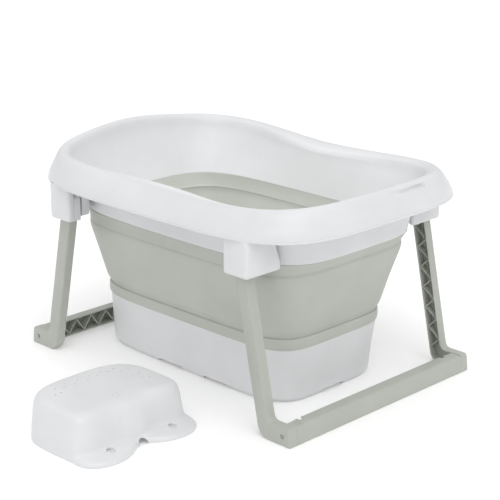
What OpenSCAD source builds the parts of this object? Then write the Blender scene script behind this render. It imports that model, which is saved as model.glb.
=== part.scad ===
// Collapsible baby bathtub on two folding leg frames, with a loose seat.
// Millimetres. +Z up, floor at z = 0, +X towards the low foot end.

/* [Rim] */
// Half length of the rim at the skirt's lower edge
rim_a = 373; // [330:1:420]
// Half width of the rim at the skirt's lower edge
rim_b = 292; // [250:0.5:330]
// Height of the lip's crest at mid length
crest_z = 409; // [380:1:440]
// Extra height of the crest at the two backrest corners
side_rise = 15; // [0:1:40]
// Further extra height in the middle of the backrest
back_rise = 17; // [0:1:40]
// Extra height of the crest at the foot end
foot_rise = 14; // [0:1:30]
// Half width between the lip's inner edges at mid length
edge_b = 203; // [190:1:215]
// Height of the skirt's lower edge
skirt_z = 366; // [340:1:390]

/* [Wall] */
// Height where the soft wall meets the rim
wall_top_z = 300; // [280:1:330]
// Height of the upper fold line
fold_hi_z = 275; // [250:1:290]
// Height of the lower fold line
fold_lo_z = 136; // [120:1:160]
// Height where the soft wall meets the base pan
wall_low_z = 112; // [90:1:120]
// Thickness of the soft wall
wall_t = 2.5; // [1.5:0.1:4]

/* [Leg frames] */
// Half width of a frame over its posts
frame_b = 260; // [220:1:300]
// Distance of a toe's tip from the middle of the tub
toe_x = 373; // [340:1:400]
// Width of a post
post_w = 30; // [24:1:40]
// Depth of a post's channel
post_d = 20; // [18:1:30]
// Outward shift of a post for each millimetre down
lean = 0.221; // [0.1:0.001:0.35]
// Height of a toe and of the crossbar
toe_h = 36; // [26:1:44]
// Depth of the crossbar's channel
bar_d = 30; // [24:1:36]
// Height of the hinge pins
hinge_z = 337; // [325:1:345]
// Radius of the hinge pins
pin_r = 5; // [4:0.5:6]

/* [Drain] */
// Drain position along the tub
drain_x = 150; // [100:1:180]
// Radius of the drain hole
drain_r = 14; // [10:0.5:20]

/* [Seat] */
// Middle of the seat across the tub
seat_y = -434.4; // [-480:0.1:-430]
// Height of the seat's top
seat_h = 83; // [70:1:110]

/* [Hidden] */

ring_n = 96;
post_x0 = toe_x - 47;
hinge_x = post_x0 - lean * hinge_z - post_w * 0.5 * sqrt(1 + lean * lean);
white = [0.93, 0.94, 0.95];
sage = [0.69, 0.72, 0.67];
steel = [0.7, 0.7, 0.72];

function ramp(t) = let (u = min(1, max(0, t))) u * u * (3 - 2 * u);
// Height of the lip's crest above the plan point x, y.
function crest(x, y) =
    crest_z + side_rise * pow(max(0, -x) / 330, 1.2) + foot_rise * pow(max(0, x) / 350, 2)
    + back_rise * exp(-pow(y / 130, 2)) * ramp((-x - 230) / 110);

// Plan point of a rounded oblong at angle t.
function oblong(t, a, b, n, xc) =
    let (c = cos(t))
    let (s = sin(t))
    let (r = pow(pow(abs(c) / a, n) + pow(abs(s) / b, n), -1 / n))
    [xc + r * c, r * s];

// Plan point of the lip's inner edge, drawn in a little at mid length.
function edge_pt(t) =
    let (p = oblong(t, 341, edge_b * 1.0837, cos(t) < 0 ? 3.75 : 4.15, -5))
    let (w = 0.923 + (p[0] < 0 ? 0.25 : 0.2) * (1 - exp(-pow(p[0] / 190, 2))))
    [p[0], p[1] * w];

// Ring on the lip: s runs from the inner edge (0) to the skirt (1), the crest is at 0.41.
// The ring then moves in by dn along the lip's width and down by dz.
function lip_ring(s, dn, dz) = [
    for (i = [0 : ring_n - 1])
        let (t = 360 * i / ring_n)
        let (e = edge_pt(t))
        let (k = oblong(t, rim_a, rim_b, 4.15, 4))
        let (p = e + (k - e) * s)
        let (q = p - unit(k - e) * dn)
        let (zc = crest(p[0], p[1]))
        let (u = min(1, max(0, (s - 0.41) / 0.59)))
        let (v = max(0, (0.41 - s) / 0.41))
        let (z = skirt_z + (zc - skirt_z) * pow(1 - pow(u, 1.45), 0.72) - 7.5 * v * v)
        [q[0], q[1], z - dz]
];

// Ring on the wall under the lip: f runs from the soft wall's top (0) to the edge (1).
function wall_ring(f, g, z, w) = [
    for (i = [0 : ring_n - 1])
        let (t = 360 * i / ring_n)
        let (e = edge_pt(t))
        let (b = oblong(t, 312.5, 200.5, 4.7, -5))
        let (p = b + (e - b) * f)
        let (q = p + unit(e) * g)
        [q[0], q[1], z + w * (crest(p[0], p[1]) - crest_z)]
];

// One ring of a lofted skin: half length, half width, corner exponent, middle,
// height and how much of the crest's rise it follows.
function ring(a, b, n, xc, z, w) = [
    for (i = [0 : ring_n - 1])
        let (t = 360 * i / ring_n)
        let (c = cos(t))
        let (s = sin(t))
        let (r = pow(pow(abs(c) / a, n) + pow(abs(s) / b, n), -1 / n))
        [xc + r * c, r * s, z + w * (crest(xc + r * c, r * s) - crest_z)]
];

function flat(v) = [for (r = v) for (p = r) p];

// Skin through rings that form a closed loop, like a tube bent round.
module loop_skin(rings) {
    k = len(rings);
    n = len(rings[0]);
    faces = [
        for (j = [0 : k - 1])
            for (i = [0 : n - 1])
                for (h = [0, 1])
                    h == 0
                        ? [j * n + i, j * n + (i + 1) % n, ((j + 1) % k) * n + i]
                        : [j * n + (i + 1) % n, ((j + 1) % k) * n + (i + 1) % n, ((j + 1) % k) * n + i]
    ];
    polyhedron(points = flat(rings), faces = faces);
}

// Skin through rings with a flat cap on the first and the last one.
module cup_skin(rings) {
    k = len(rings);
    n = len(rings[0]);
    sides = [
        for (j = [0 : k - 2])
            for (i = [0 : n - 1])
                for (h = [0, 1])
                    h == 0
                        ? [j * n + i, (j + 1) * n + i, j * n + (i + 1) % n]
                        : [j * n + (i + 1) % n, (j + 1) * n + i, (j + 1) * n + (i + 1) % n]
    ];
    cap_lo = [[for (i = [0 : n - 1]) i]];
    cap_hi = [[for (i = [0 : n - 1]) (k - 1) * n + n - 1 - i]];
    polyhedron(points = flat(rings), faces = concat(sides, cap_lo, cap_hi));
}

// ---- outline helpers ----
function unit(v) = v / norm(v);
function corner(p, q, r, rad) =
    let (a = unit(p - q))
    let (b = unit(r - q))
    let (half = acos(max(-1, min(1, a * b))) / 2)
    let (m = unit(a + b))
    let (c = q + m * (rad / sin(half)))
    let (s = q + a * (rad / tan(half)) - c)
    let (e = q + b * (rad / tan(half)) - c)
    let (a0 = atan2(s[1], s[0]))
    let (d0 = atan2(e[1], e[0]) - a0)
    let (d = d0 > 180 ? d0 - 360 : d0 < -180 ? d0 + 360 : d0)
    rad <= 0 ? [q] : [for (i = [0 : 6]) c + rad * [cos(a0 + d * i / 6), sin(a0 + d * i / 6)]];
function rounded(p, r) =
    let (n = len(p))
    [for (i = [0 : n - 1]) for (q = corner(p[(i + n - 1) % n], p[i], p[(i + 1) % n], r[i])) q];
// Corners of a polygon that runs clockwise or back, moved inwards by d.
function inset(p, d) =
    let (n = len(p))
    [
        for (i = [0 : n - 1])
            let (u = unit(p[i] - p[(i + n - 1) % n]))
            let (v = unit(p[(i + 1) % n] - p[i]))
            let (nu = [-u[1], u[0]])
            let (nv = [-v[1], v[0]])
            p[i] + (nu + nv) * (d / (1 + nu * nv))
    ];

// A flat outline in x and z, given a thickness along y.
module plate(y0, y1) {
    translate([0, y1, 0])
        rotate([90, 0, 0])
            linear_extrude(height = y1 - y0)
                children();
}

// ---- rim ----
module rim_shell() {
    c = crest_z;
    z0 = wall_top_z;
    color(white)
        difference() {
            loop_skin([
                wall_ring(0, 0, z0 + 5, 0),
                wall_ring(0.2, 0, z0 + 30, 0.1),
                wall_ring(0.52, 0, z0 + 65, 0.4),
                wall_ring(0.8, 0, c - 23, 0.8),
                wall_ring(0.93, 0, c - 13, 1),
                lip_ring(0, 0, 0),
                lip_ring(0.1, 0, 0),
                lip_ring(0.25, 0, 0),
                lip_ring(0.41, 0, 0),
                lip_ring(0.53, 0, 0),
                lip_ring(0.65, 0, 0),
                lip_ring(0.77, 0, 0),
                lip_ring(0.88, -0.8, 0),
                lip_ring(0.96, -1.5, 0),
                lip_ring(0.99, -1, 0),
                lip_ring(1, 0, 0),
                lip_ring(1, 3, 0),
                lip_ring(0.99, 2.2, 0),
                lip_ring(0.93, 1.5, 1.5),
                lip_ring(0.8, 1.7, 2.4),
                lip_ring(0.6, 1, 3),
                lip_ring(0.41, 0, 3.1),
                lip_ring(0.25, -0.6, 3.3),
                lip_ring(0.12, -2, 5),
                wall_ring(0.96, 3.2, c - 13, 1),
                wall_ring(0.8, 3.2, c - 23, 0.8),
                wall_ring(0.52, 3.2, z0 + 65, 0.4),
                wall_ring(0.2, 3.2, z0 + 30, 0.1),
                wall_ring(0, 3.2, z0, 0)
            ]);
            // shallow step outside the foot end's crest, for a hand
            translate([0, 0, c + 4.4])
                linear_extrude(height = 10)
                    polygon([
                        [rim_a - 14.7, 108],
                        [rim_a - 13, 60],
                        [rim_a - 12.4, 0],
                        [rim_a - 11, -30],
                        [rim_a - 8, -30],
                        [rim_a - 8, 108]
                    ]);
        }
}

// ---- leg sockets, drawn for the corner at +X and +Y ----
module leg_socket() {
    out_x = 278;
    foot = rounded(
        [[205, 221.5], [240, 215.5], [270, 205.5], [out_x, 202.5], [out_x, 274], [205, 274]],
        [3, 0, 0, 3, 20, 7]
    );
    y0 = frame_b - post_d;
    z0 = wall_top_z - 4;
    difference() {
        intersection() {
            union() {
                translate([0, 0, z0])
                    linear_extrude(height = skirt_z - 0.4 - z0)
                        polygon(foot);
                // the lower part of the outer end reaches closer to the soft wall
                translate([0, 0, z0])
                    linear_extrude(height = 30)
                        polygon([[240, 207], [270, 195], [out_x, 191], [out_x, 220], [240, 225]]);
            }
            plate(180, 290)
                polygon(rounded(
                    [[200, skirt_z], [out_x + 5, skirt_z], [out_x + 0.01, z0], [204.99, z0]],
                    [0, 0, 8, 14]
                ));
        }
        plate(y0 - 0.6, frame_b + 0.6)
            polygon([
                [190, 285],
                [post_x0 - lean * 285 + 0.5, 285],
                [post_x0 - lean * hinge_z + 0.8, hinge_z],
                [post_x0 - lean * hinge_z + 0.8, hinge_z + 19],
                [190, hinge_z + 19]
            ]);
        // the inner cheek is shorter than the outer one
        translate([190, 190, z0 - 1])
            cube([29, y0 - 190, hinge_z + 20 - z0]);
        translate([190, 190, z0 - 1])
            cube([70, y0 - 190, 7]);
        translate([hinge_x, y0 - 16, hinge_z])
            rotate([-90, 0, 0])
                cylinder(r = pin_r + 0.02, h = post_d + 25, $fn = 48);
    }
    // stem that stands up inside the lip
    translate([212, 234, skirt_z - 0.4])
        cube([44, 15, crest_z - 3 - skirt_z]);
}

module leg_socket_front_right() {
    color(white)
        mirror([0, 1, 0])
            leg_socket();
}
module leg_socket_front_left() {
    color(white)
        leg_socket();
}
module leg_socket_back_right() {
    color(white)
        mirror([1, 0, 0])
            mirror([0, 1, 0])
                leg_socket();
}
module leg_socket_back_left() {
    color(white)
        mirror([1, 0, 0])
            leg_socket();
}

module hinge_pin(x, y) {
    translate([x, y, hinge_z])
        rotate([-90, 0, 0])
            cylinder(r = pin_r, h = post_d + 24, $fn = 48);
}
module hinge_pins() {
    yo = frame_b - post_d - 15.5;
    color(steel) {
        hinge_pin(hinge_x, yo);
        hinge_pin(-hinge_x, yo);
        hinge_pin(hinge_x, -yo - post_d - 24);
        hinge_pin(-hinge_x, -yo - post_d - 24);
    }
}

// ---- soft wall ----
module wall_collar_upper() {
    t = wall_t;
    z0 = fold_hi_z;
    // gap between the soft wall and the rim's slanted lower edge
    seam = 0.3;
    color(sage)
        loop_skin([
            ring(301.5, 200.5, 4.9, -9, z0, 0),
            ring(308, 202.5, 4.8, -7, z0 + 15, 0),
            wall_ring(0, 3.2, wall_top_z - seam, 0),
            wall_ring(0, 0, wall_top_z + 5 - seam, 0),
            ring(308 - t, 202.5 - t, 4.8, -7, z0 + 15, 0),
            ring(301.5 - t, 200.5 - t, 4.9, -9, z0, 0)
        ]);
}
module wall_fold_panel() {
    t = wall_t;
    z1 = fold_hi_z - 0.2;
    z0 = fold_lo_z + 0.2;
    color(sage)
        loop_skin([
            ring(271, 160, 5.6, -14, z0, 0),
            ring(273.5, 162.5, 5.5, -14, z0 + 8, 0),
            ring(288, 182, 5.3, -12, (z0 + z1) / 2, 0),
            ring(303, 201.5, 5, -9, z1 - 5, 0),
            ring(302.5, 201.5, 4.9, -9, z1, 0),
            ring(302.5 - t, 201.5 - t, 4.9, -9, z1, 0),
            ring(302.5 - t, 200.5 - t, 5, -9, z1 - 7, 0),
            ring(288 - t, 182 - t, 5.3, -12, (z0 + z1) / 2, 0),
            ring(273.5 - t, 162.5 - t, 5.5, -14, z0 + 8, 0),
            ring(271 - t, 160 - t, 5.6, -14, z0, 0)
        ]);
}
module wall_collar_lower() {
    t = wall_t + 1;
    z1 = fold_lo_z;
    z0 = wall_low_z + 0.2;
    color(sage)
        loop_skin([
            ring(270.5, 157, 5.7, -15, z0, 0),
            ring(272.3, 159.2, 5.7, -15, z0 + 6, 0),
            ring(273, 160.7, 5.6, -14, z1 - 3, 0),
            ring(271.5, 160, 5.6, -14, z1, 0),
            ring(272.5 - t - 2, 161 - t - 2, 5.6, -14, z1, 0),
            ring(272.3 - t, 159.2 - t, 5.7, -15, z0 + 6, 0),
            ring(270.5 - t, 157 - t, 5.7, -15, z0, 0)
        ]);
}

// ---- base pan with its drain and foot ring ----
module base_pan() {
    color(white)
        difference() {
            union() {
                cup_skin([
                    ring(240, 122, 5.2, -20, 6, 0),
                    ring(244, 126, 5.2, -20, 0, 0),
                    ring(257, 139.5, 5.3, -20, 0, 0),
                    ring(262.5, 145, 5.4, -20, 2, 0),
                    ring(265.5, 148.5, 5.5, -20, 9, 0),
                    ring(268, 152.5, 5.6, -18, 60, 0),
                    ring(270.5, 157, 5.7, -15, wall_low_z - 2, 0),
                    ring(270, 156.5, 5.7, -15, wall_low_z, 0),
                    ring(267.5, 154, 5.7, -15, wall_low_z, 0),
                    ring(265, 149.5, 5.6, -18, 60, 0),
                    ring(262, 145, 5.5, -20, 17, 0),
                    ring(257, 140, 5.4, -20, 11, 0),
                    ring(248, 131, 5.3, -20, 9, 0)
                ]);
                cylinder(r = 48, h = 7, $fn = 64);
            }
            // gaps in the foot ring
            for (x = [-70, 61])
                for (y = [-140, 110])
                    translate([x - 34, y, -1])
                        cube([68, 30, 5]);
            translate([225, -26, -1])
                cube([30, 52, 5]);
            translate([-295, -26, -1])
                cube([30, 52, 5]);
            translate([drain_x, 0, -1])
                cylinder(r = drain_r, h = 20, $fn = 48);
        }
}

module drain_plug() {
    color(sage)
        translate([drain_x, 0, 0]) {
            translate([0, 0, 4])
                cylinder(r = drain_r - 0.5, h = 5.4, $fn = 48);
            translate([0, 0, 9.4])
                cylinder(r = drain_r + 5, h = 2.6, $fn = 48);
            translate([0, 0, 12])
                difference() {
                    translate([-2, -7, 0])
                        cube([4, 14, 12]);
                    translate([-5, 0, 7])
                        rotate([0, 90, 0])
                            cylinder(r = 3.2, h = 10, $fn = 32);
                }
        }
}

// ---- leg frames, drawn for the corner at +X and +Y ----
post_pts = [
    [hinge_x - post_w * 0.5 * sqrt(1 + lean * lean), hinge_z],
    [hinge_x + post_w * 0.5 * sqrt(1 + lean * lean), hinge_z],
    [post_x0 - lean * toe_h, toe_h],
    [toe_x - 4, toe_h],
    [toe_x, 0],
    [post_x0 - post_w * sqrt(1 + lean * lean), 0]
];
post_rad = [0, 0, 12, 7, 2, 26];
// the same outline, run the other way for the inset
rev_pts = [for (i = [5 : -1 : 0]) post_pts[i]];
hole_pts = inset(rev_pts, 2.8);

function zig(i, n, z1, z0) =
    let (z = z1 + (z0 - z1) * i / n)
    [post_x0 - lean * z - post_w / 2 + (i % 2 == 0 ? -post_w / 2 + 0.8 : post_w / 2 - 4.5), z];

module post() {
    y0 = frame_b - post_d;
    hr = post_w / 2;
    difference() {
        union() {
            difference() {
                plate(y0, frame_b)
                    polygon(rounded(post_pts, post_rad));
                plate(y0 - 1, frame_b - 2.6)
                    polygon(rounded(hole_pts, [23, 1, 4.5, 14, 0, 0]));
            }
            translate([hinge_x, y0, hinge_z])
                rotate([-90, 0, 0])
                    cylinder(r = hr, h = post_d, $fn = 64);
            // zigzag rib inside the channel
            plate(y0 + 4, frame_b - 2)
                polygon(concat(
                    [for (i = [0 : 14]) zig(i, 14, hinge_z - 20, 34)],
                    [for (i = [14 : -1 : 0]) zig(i, 14, hinge_z - 20, 34) + [3.7, 0]]
                ));
            // boss that takes the crossbar's screw
            translate([toe_x - 20, y0, toe_h / 2])
                rotate([-90, 0, 0])
                    cylinder(r = 8, h = post_d - 1, $fn = 32);
        }
        translate([hinge_x, y0 - 1, hinge_z])
            rotate([-90, 0, 0])
                cylinder(r = pin_r + 0.06, h = post_d + 2, $fn = 48);
        translate([toe_x - 20, y0 - 1, toe_h / 2])
            rotate([-90, 0, 0])
                cylinder(r = 2.2, h = post_d + 2, $fn = 24);
        translate([toe_x - 20, frame_b - 5, toe_h / 2])
            rotate([-90, 0, 0])
                cylinder(r = 4.2, h = 6, $fn = 32);
    }
}

bar_pts = [[toe_x - bar_d, 0], [toe_x - bar_d, toe_h], [toe_x - 4, toe_h], [toe_x, 0]];
module crossbar() {
    half = frame_b - post_d - 0.2;
    difference() {
        plate(-half, half)
            polygon(rounded(bar_pts, [1.5, 2, 7, 2]));
        plate(-half + 16, half - 16)
            polygon([
                [toe_x - bar_d - 5, 2.8],
                [toe_x - bar_d - 5, toe_h - 2.8],
                [toe_x - 8.5, toe_h - 2.8],
                [toe_x - 3.2, 2.8]
            ]);
        for (y = [-half - 1, half - 15])
            translate([toe_x - 20, y, toe_h / 2])
                rotate([-90, 0, 0])
                    cylinder(r = 2.05, h = 16, $fn = 24);
        // small notch in the top near each post
        for (y = [-213, 201])
            translate([toe_x - bar_d - 5, y, toe_h - 3])
                cube([12, 12, 6]);
    }
    // zigzag rib inside the channel
    span = half - 15;
    translate([toe_x - bar_d + 4, 0, 0])
        rotate([90, 0, 90])
            linear_extrude(height = bar_d - 10.4)
                polygon(concat(
                    [for (i = [0 : 24]) [-span + 2 * span * i / 24, i % 2 == 0 ? 0.7 : toe_h - 5]],
                    [for (i = [24 : -1 : 0]) [-span + 2 * span * i / 24, i % 2 == 0 ? 4.7 : toe_h - 1]]
                ));
}

module frame_screw(y) {
    translate([toe_x - 20, 0, toe_h / 2])
        rotate([-90, 0, 0]) {
            translate([0, 0, y - 30])
                cylinder(r = 2, h = 30, $fn = 24);
            translate([0, 0, y - 4.9])
                cylinder(r = 3.9, h = 2.6, $fn = 32);
        }
}
module frame_screws() {
    frame_screw(frame_b);
    mirror([0, 1, 0])
        frame_screw(frame_b);
}

module front_post_right() {
    color(sage)
        mirror([0, 1, 0])
            post();
}
module front_post_left() {
    color(sage)
        post();
}
module front_crossbar() {
    color(sage)
        crossbar();
}
module front_frame_screws() {
    color(steel)
        frame_screws();
}
module back_post_right() {
    color(sage)
        mirror([1, 0, 0])
            mirror([0, 1, 0])
                post();
}
module back_post_left() {
    color(sage)
        mirror([1, 0, 0])
            post();
}
module back_crossbar() {
    color(sage)
        mirror([1, 0, 0])
            crossbar();
}
module back_frame_screws() {
    color(steel)
        mirror([1, 0, 0])
            frame_screws();
}

// ---- seat: one shell with two flange lobes at its front ----
cup_x = 172.5;
cup_y = 73;
cup_mid = seat_y + 2.5;
// Outline at angle t of a body with the front half length a and the front exponent n.
function seat_body(t, a, n) =
    let (c = cos(t))
    let (m = c > 0 ? n : 2.76)
    pow(pow(abs(c) / (c > 0 ? a : 99), m) + pow(abs(sin(t)) / 134.7, m), -1 / m);
// Body with two hollows in its front when f = 0, floor outline with the lobes when f = 1.
function seat_r(t, f) =
    let (u = (abs(t > 180 ? t - 360 : t) - 34.8) / 29.7)
    let (bulge = cos(t) > 0 ? max(0, 1 - u * u) : 0)
    (seat_body(t, 96, 7) - 10 * bulge * bulge) * (1 - f)
    + (seat_body(t, 104, 4.95) + 33 * pow(bulge, 1.4)) * f;
// Ring on the seat, d inside its outline and in front a further e.
function seat_ring(d, f, z, e = 0) = [
    for (i = [0 : 71])
        let (t = 5 * i)
        let (r = seat_r(t, f) - d - e * pow(max(0, cos(t)), 2))
        [70.6 + r * cos(t) - 5 * z / seat_h, seat_y + r * sin(t), z]
];
module seat_shell() {
    h = seat_h;
    color(white)
        difference() {
            cup_skin([
                seat_ring(48, 0, h - 3, 22),
                seat_ring(30, 0, h - 4, 12),
                seat_ring(19, 0, h - 9, 4),
                seat_ring(13, 0, h - 20),
                seat_ring(7.6, 0, 32),
                seat_ring(6, 0.05, 20),
                seat_ring(5.4, 0.3, 11),
                seat_ring(5, 0.6, 9.2),
                seat_ring(4.4, 0.85, 7.4),
                seat_ring(3.6, 0.97, 5),
                seat_ring(3, 1, 0),
                seat_ring(0.3, 1, 0),
                seat_ring(0, 1, 5.2),
                seat_ring(0.9, 0.97, 8),
                seat_ring(1.4, 0.86, 10.3),
                seat_ring(1.6, 0.62, 12.1),
                seat_ring(1.8, 0.36, 13.7),
                seat_ring(2, 0.16, 16.2),
                seat_ring(2.3, 0.05, 22),
                seat_ring(3.6, 0, 32, -1),
                seat_ring(6.6, 0, h - 27, -1),
                seat_ring(9.2, 0, h - 14),
                seat_ring(12.4, 0, h - 7.2, 3),
                seat_ring(17.4, 0, h - 3, 8),
                seat_ring(26, 0, h - 0.8, 14),
                seat_ring(38, 0, h, 22)
            ]);
            // small arch between the lobes
            translate([130, seat_y + 2.5, 0])
                rotate([0, 90, 0])
                    cylinder(r = 12, h = 60, $fn = 36);
            for (s = [-1, 1])
                translate([cup_x, cup_mid + s * cup_y, -1])
                    cylinder(r = 6.5, h = 40, $fn = 32);
        }
}
module seat_suction_cups() {
    color([0.86, 0.87, 0.88])
        for (s = [-1, 1])
            translate([cup_x, cup_mid + s * cup_y, 0]) {
                cylinder(r1 = 13, r2 = 5, h = 4, $fn = 40);
                translate([0, 0, 4])
                    cylinder(r = 5, h = 7, $fn = 32);
            }
}

rim_shell();
leg_socket_front_right();
leg_socket_front_left();
leg_socket_back_right();
leg_socket_back_left();
hinge_pins();
wall_collar_upper();
wall_fold_panel();
wall_collar_lower();
base_pan();
drain_plug();
front_post_right();
front_post_left();
front_crossbar();
front_frame_screws();
back_post_right();
back_post_left();
back_crossbar();
back_frame_screws();
seat_shell();
seat_suction_cups();
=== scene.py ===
"""Looks for the collapsible baby bathtub: rim, folding wall, base pan, leg frames and seat."""
import math

import bpy
import bmesh
import numpy as np
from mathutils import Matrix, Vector


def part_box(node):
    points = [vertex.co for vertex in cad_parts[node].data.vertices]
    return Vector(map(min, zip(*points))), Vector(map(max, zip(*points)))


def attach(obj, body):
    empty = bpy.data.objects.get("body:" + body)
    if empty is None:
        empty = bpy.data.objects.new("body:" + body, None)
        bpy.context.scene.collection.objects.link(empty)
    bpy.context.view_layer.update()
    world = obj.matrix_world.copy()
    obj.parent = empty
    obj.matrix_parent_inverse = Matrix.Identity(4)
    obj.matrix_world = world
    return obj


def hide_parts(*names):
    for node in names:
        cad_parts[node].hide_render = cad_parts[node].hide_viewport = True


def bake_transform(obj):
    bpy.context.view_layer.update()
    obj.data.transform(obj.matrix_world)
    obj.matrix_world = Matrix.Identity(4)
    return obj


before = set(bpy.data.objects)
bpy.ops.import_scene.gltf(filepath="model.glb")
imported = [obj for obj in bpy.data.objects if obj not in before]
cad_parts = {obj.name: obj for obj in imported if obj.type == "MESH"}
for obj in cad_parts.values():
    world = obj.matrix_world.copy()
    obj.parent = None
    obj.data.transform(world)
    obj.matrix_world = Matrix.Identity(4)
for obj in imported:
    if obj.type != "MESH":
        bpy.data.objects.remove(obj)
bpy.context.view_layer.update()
MM = 0.001

# ---- places taken from the frame, in millimetres ----


def corners(node):
    """Lowest and highest corner of a CAD node, in millimetres."""
    lo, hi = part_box(node)
    return lo / MM, hi / MM


WALL_TOP = corners("rim_shell")[0].z
FOLD_HI = corners("wall_collar_upper")[0].z
FOLD_LO = corners("wall_collar_lower")[1].z
PAN_TOP = corners("base_pan")[1].z
POST_LO, POST_HI = corners("front_post_left")
PIN_LO, PIN_HI = corners("hinge_pins")
SEAT_LO, SEAT_HI = corners("seat_shell")
PLUG_LO, PLUG_HI = corners("drain_plug")

# ---- rim ----
AROUND = 336
SKIRT_A = 373
SKIRT_B = 292
SKIRT_Z = 366
SKIRT_N = 4.15
SKIRT_X = 4
RIM_WALL = 3.2
CREST_AT = 0.41
CREST_Z = 409
SIDE_RISE = 15
BACK_RISE = 17
FOOT_RISE = 14
EDGE_A = 341
EDGE_B = 220
SCOOP_START = -10
SCOOP_END = 108
SCOOP_DEPTH = 9
SCOOP_UNDER = 5
SCOOP_INNER = 0.575
SCOOP_OUTER = 0.63

# ---- soft wall ----
SOFT_WALL = 2.5

# ---- leg frames ----
TOE_X = POST_HI.x
FRAME_B = POST_HI.y
POST_Y0 = POST_LO.y
POST_W = 30
LEAN = 0.221
TOE_H = corners("front_crossbar")[1].z
BAR_X0 = corners("front_crossbar")[0].x
HINGE_Z = (PIN_LO.z + PIN_HI.z) / 2
TOE_REACH = 47
POST_X0 = TOE_X - TOE_REACH
SLANT = math.sqrt(1 + LEAN * LEAN)
HINGE_X = POST_X0 - LEAN * HINGE_Z - POST_W / 2 * SLANT
PIN_R = (PIN_HI.z - PIN_LO.z) / 2
POST_HEAD = 15
SCREW_X = TOE_X - 20

# ---- seat ----
SEAT_Y = (SEAT_LO.y + SEAT_HI.y) / 2
SEAT_X = 70.6
SEAT_H = SEAT_HI.z
SEAT_BACK = 99
SEAT_B = 134.7
CUP_X = 172.5
CUP_Y = 73
CUP_MID = SEAT_Y + 2.5
SEAT_FRONT = 96
LOBE_AT = 34.8
LOBE_HALF = 29.7
LOBE_OUT = 33
HOLLOW = 6


# ---- outlines and surfaces ----
def oblong(angles, a, b, n, xc):
    """Plan points of a rounded oblong at the given angles."""
    c, s = np.cos(angles), np.sin(angles)
    r = ((np.abs(c) / a) ** n + (np.abs(s) / b) ** n) ** (-1 / n)
    return np.stack([xc + r * c, r * s], 1)


def ramp(t):
    """Smooth step from 0 to 1."""
    u = np.clip(t, 0, 1)
    return u * u * (3 - 2 * u)


ANGLES = np.linspace(0, 2 * math.pi, AROUND, endpoint=False)


def level(a, b, n, xc, z, rise=0):
    """One ring of a wall at height z, which follows the crest's rise by a share."""
    p = oblong(ANGLES, a, b, n, xc)
    up = rise * (crest(p[:, 0], p[:, 1]) - CREST_Z)
    return np.column_stack([p, z + up])


def crest(x, y):
    """Height of the lip's crest above a plan point."""
    side = SIDE_RISE * (np.maximum(0, -x) / 330) ** 1.2
    foot = FOOT_RISE * (np.maximum(0, x) / 350) ** 2
    back = BACK_RISE * np.exp(-((y / 130) ** 2)) * ramp((-x - 230) / 110)
    return CREST_Z + side + foot + back


def edge_ring():
    """Plan points of the lip's inner edge, drawn in a little at mid length."""
    n = np.where(np.cos(ANGLES) < 0, 3.75, 4.15)
    p = oblong(ANGLES, EDGE_A, EDGE_B, n, -5)
    flare = np.where(p[:, 0] < 0, 0.25, 0.2)
    p[:, 1] *= 0.923 + flare * (1 - np.exp(-((p[:, 0] / 190) ** 2)))
    return p


EDGE = edge_ring()
SKIRT = oblong(ANGLES, SKIRT_A, SKIRT_B, SKIRT_N, SKIRT_X)
WALL_FOOT = oblong(ANGLES, 312.5, 200.5, 4.7, -5)


def unit(v):
    """The same plan directions, each of length one."""
    return v / np.linalg.norm(v, axis=1)[:, None]


def lip(s, inward=0, down=0):
    """Ring on the lip: s runs from the inner edge (0) to the skirt (1)."""
    p = EDGE + (SKIRT - EDGE) * s
    q = p - unit(SKIRT - EDGE) * inward
    u = min(1, max(0, (s - CREST_AT) / (1 - CREST_AT)))
    v = max(0, (CREST_AT - s) / CREST_AT)
    z = SKIRT_Z + (crest(p[:, 0], p[:, 1]) - SKIRT_Z) * (1 - u**1.45) ** 0.72 - 7.5 * v * v
    return np.column_stack([q, z - down])


def scooped(rings, shares):
    """The groove at the foot end: outside the crest the lip drops and cuts under, most at one end."""
    out = []
    for r, s in zip(rings, shares):
        r = r.copy()
        y = r[:, 1]
        along = ramp((y - SCOOP_START) / SCOOP_END) * ramp((SCOOP_END + 8 - y) / 6) * (r[:, 0] > 250)
        across = ramp((s - SCOOP_INNER) / 0.02) * (1 - ramp((s - SCOOP_OUTER) / 0.05))
        r[:, 2] -= SCOOP_DEPTH * along * across
        r[:, :2] -= unit(r[:, :2]) * (SCOOP_UNDER * along**2 * across)[:, None]
        out.append(r)
    return out


def wall(f, outward, z, rise):
    """Ring on the white wall under the lip: f runs from the soft wall's top (0) to the edge (1)."""
    p = WALL_FOOT + (EDGE - WALL_FOOT) * f
    q = p + unit(EDGE) * outward
    return np.column_stack([q, z + rise * (crest(p[:, 0], p[:, 1]) - CREST_Z)])


def smooth(rings, steps=4):
    """More rings on a smooth curve through the given ones."""
    k = [rings[0]] + list(rings) + [rings[-1]]
    out = []
    for i in range(1, len(k) - 2):
        for j in range(steps):
            t = j / steps
            a = 2 * k[i]
            b = k[i + 1] - k[i - 1]
            c = 2 * k[i - 1] - 5 * k[i] + 4 * k[i + 1] - k[i + 2]
            d = -k[i - 1] + 3 * k[i] - 3 * k[i + 1] + k[i + 2]
            out.append((a + b * t + c * t * t + d * t**3) / 2)
    return out + [rings[-1]]


# ---- mesh building ----
def skin(rings, closed=False):
    """Vertices and faces of a surface through rings with equal counts of points."""
    n = len(rings[0])
    m = len(rings)
    verts = np.concatenate(rings)
    faces = []
    for j in range(m if closed else m - 1):
        k = (j + 1) % m
        for i in range(n):
            h = (i + 1) % n
            faces.append((j * n + i, j * n + h, k * n + h, k * n + i))
    if not closed:
        faces.append(tuple(range(n - 1, -1, -1)))
        faces.append(tuple((m - 1) * n + i for i in range(n)))
    return verts, faces


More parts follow.
